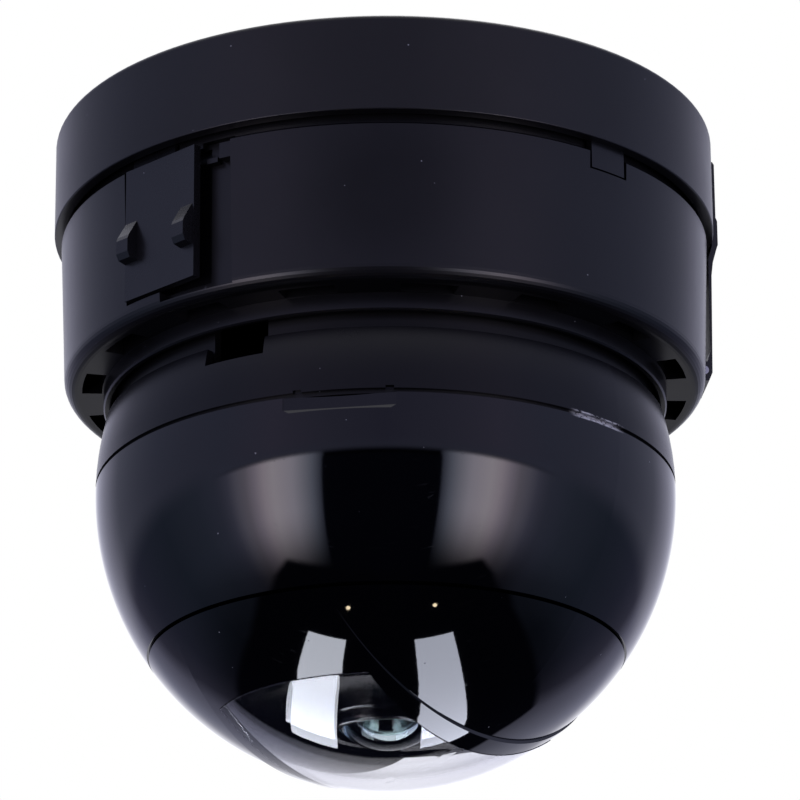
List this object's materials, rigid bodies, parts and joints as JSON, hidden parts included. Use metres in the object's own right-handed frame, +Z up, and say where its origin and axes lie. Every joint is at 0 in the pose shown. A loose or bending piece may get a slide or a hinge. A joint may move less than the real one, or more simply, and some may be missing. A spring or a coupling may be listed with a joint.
{
  "type": "ceiling ball-dome security camera",
  "caption": "Ceiling ball-dome security camera: fixed drum base, endlessly turning ball head, tilting lens behind a clear window.",
  "frame": {"origin": "centre of the ceiling face, on the pan axis", "axes": "+Z points up into the ceiling along the pan axis, -Y is the front, +X is to the right as seen from the front; the head is turned 38.6 degrees clockwise seen from above at rest"},
  "size_m": [0.1311, 0.13, 0.1301],
  "materials": {
    "collar_plastic": "fine moulded texture, matt",
    "drum_plastic": "fine moulded texture, satin",
    "latch_plastic": "smooth satin",
    "clip_plastic": "smooth satin",
    "neck_plastic": "matt",
    "ring_plastic": "fine moulded texture, matt",
    "gloss_shell": "high gloss",
    "gloss_cap": "high gloss",
    "clear_window": "clear polished acrylic",
    "shroud_gloss": "gloss",
    "bezel_gloss": "gloss",
    "barrel_black": "black anodised",
    "lens_glass": "coated glass, teal sheen",
    "inner_glass": "coated glass",
    "filter_glass": "red-tinted filter",
    "sensor_face": "silicon",
    "plate_steel": "powder coat",
    "frame_steel": "zinc plated",
    "screw_steel": "zinc plated",
    "bearing_steel": "polished",
    "motor_steel": "plated can",
    "brass": "turned brass",
    "gear_plastic": "moulded acetal",
    "dark_plastic": "moulded",
    "circuit_board": "solder mask",
    "chip_plastic": "moulded epoxy",
    "terminal_plastic": "moulded nylon"
  },
  "bodies": {
    "base": {"mounting_plate": "plate_steel", "plate_screws": "screw_steel", "collar": "collar_plastic", "collar_hooks": "drum_plastic", "drum_housing": "drum_plastic", "latch_pin": "screw_steel", "clip_pin": "screw_steel", "deck": "frame_steel", "deck_screws": "screw_steel", "bearing_outer": "bearing_steel", "pan_motor": "motor_steel", "motor_posts": "brass", "slip_ring_bridge": "frame_steel", "slip_ring_stator": "dark_plastic", "main_board": "circuit_board", "board_posts": "brass", "board_parts": "chip_plastic", "terminal_block": "terminal_plastic"},
    "latch": {"latch_plate": "latch_plastic"},
    "clip": {"side_clip": "clip_plastic"},
    "pan_drive": {"pan_pinion": "brass"},
    "pan_head": {"bearing_inner": "bearing_steel", "bearing_balls": "bearing_steel", "pan_carrier": "neck_plastic", "pan_gear": "gear_plastic", "hub_nut": "screw_steel", "slip_ring_rotor": "dark_plastic", "pan_ring": "ring_plastic", "seam_ring": "neck_plastic", "upper_shell": "gloss_shell", "lower_cap": "gloss_cap", "window": "clear_window", "yoke": "frame_steel", "yoke_screws": "screw_steel", "tilt_bushes": "brass", "tilt_motor": "motor_steel", "head_board": "circuit_board"},
    "tilt_drive": {"tilt_pinion": "brass"},
    "tilt_camera": {"shroud": "shroud_gloss", "trunnions": "screw_steel", "tilt_gear": "gear_plastic", "camera_block": "dark_plastic", "lens_barrel": "barrel_black", "lens_bezel": "bezel_gloss", "front_lens": "lens_glass", "inner_lenses": "inner_glass", "sensor_board": "circuit_board", "image_sensor": "sensor_face"},
    "filter_slide": {"filter_frame": "dark_plastic", "ir_filter": "filter_glass"}
  },
  "joints": [
    {"name": "pan", "type": "hinge", "parent": "base", "child": "pan_head", "pos_m": [0, 0, -0.0399], "axis": [0, 0, 1], "continuous": true},
    {"name": "tilt", "type": "hinge", "parent": "pan_head", "child": "tilt_camera", "pos_m": [0, 0, -0.073], "axis": [-0.7815, 0.6239, 0], "range_deg": [-25, 25]},
    {"name": "pan_motor_spin", "type": "hinge", "parent": "base", "child": "pan_drive", "pos_m": [-0.03215, 0.01856, -0.034], "axis": [0, 0, 1], "continuous": true},
    {"name": "tilt_motor_spin", "type": "hinge", "parent": "pan_head", "child": "tilt_drive", "pos_m": [0.04184, -0.00049, -0.05815], "axis": [-0.7815, 0.6239, 0], "range_deg": [-112, 112]},
    {"name": "filter_shift", "type": "slide", "parent": "tilt_camera", "child": "filter_slide", "axis": [0.7815, -0.6239, 0], "range_m": [0, 0.0106]},
    {"name": "latch_press", "type": "hinge", "parent": "base", "child": "latch", "pos_m": [-0.04107, -0.0418, -0.0156], "axis": [0.7133, -0.7009, 0], "range_deg": [0, 3], "stiffness_Nm_per_rad": 1.5},
    {"name": "clip_open", "type": "hinge", "parent": "base", "child": "clip", "pos_m": [0.06206, 0.00652, -0.0463], "axis": [-0.1045, 0.9945, 0], "range_deg": [0, 25]}
  ],
  "couplings": [
    {"joint": "pan_motor_spin", "follows": "pan", "ratio": -4.2857},
    {"joint": "tilt_motor_spin", "follows": "tilt", "ratio": -4.2857}
  ]
}
